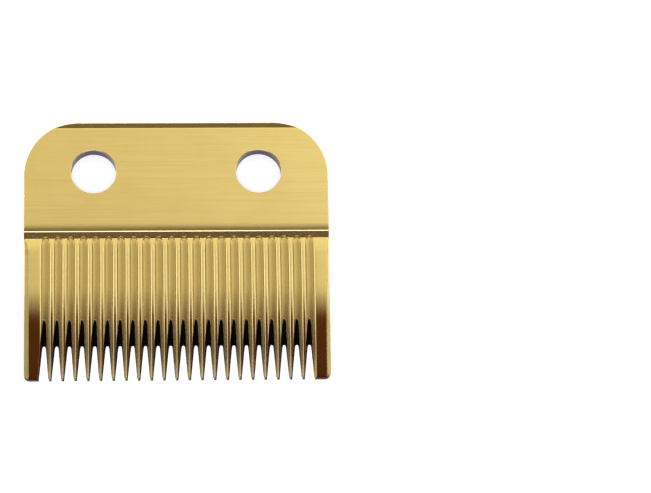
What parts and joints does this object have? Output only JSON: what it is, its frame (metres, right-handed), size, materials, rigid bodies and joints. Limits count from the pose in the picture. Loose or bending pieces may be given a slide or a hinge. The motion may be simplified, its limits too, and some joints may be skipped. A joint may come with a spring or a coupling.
{
  "type": "hair clipper blade",
  "caption": "Fixed comb blade of a hair clipper: a flat plate with screw holes, a step, and a fluted comb field that thins to pointed teeth.",
  "frame": {"origin": "middle of the blade's outline, on its flat inner face", "axes": "+X across the blade, +Y from the teeth to the mounting edge, +Z out of the fluted outer face"},
  "size_m": [0.046, 0.0402, 0.0022],
  "materials": {
    "gold_coated_steel": "satin"
  },
  "bodies": {
    "root": {"fixed_blade": "gold_coated_steel"}
  },
  "joints": []
}
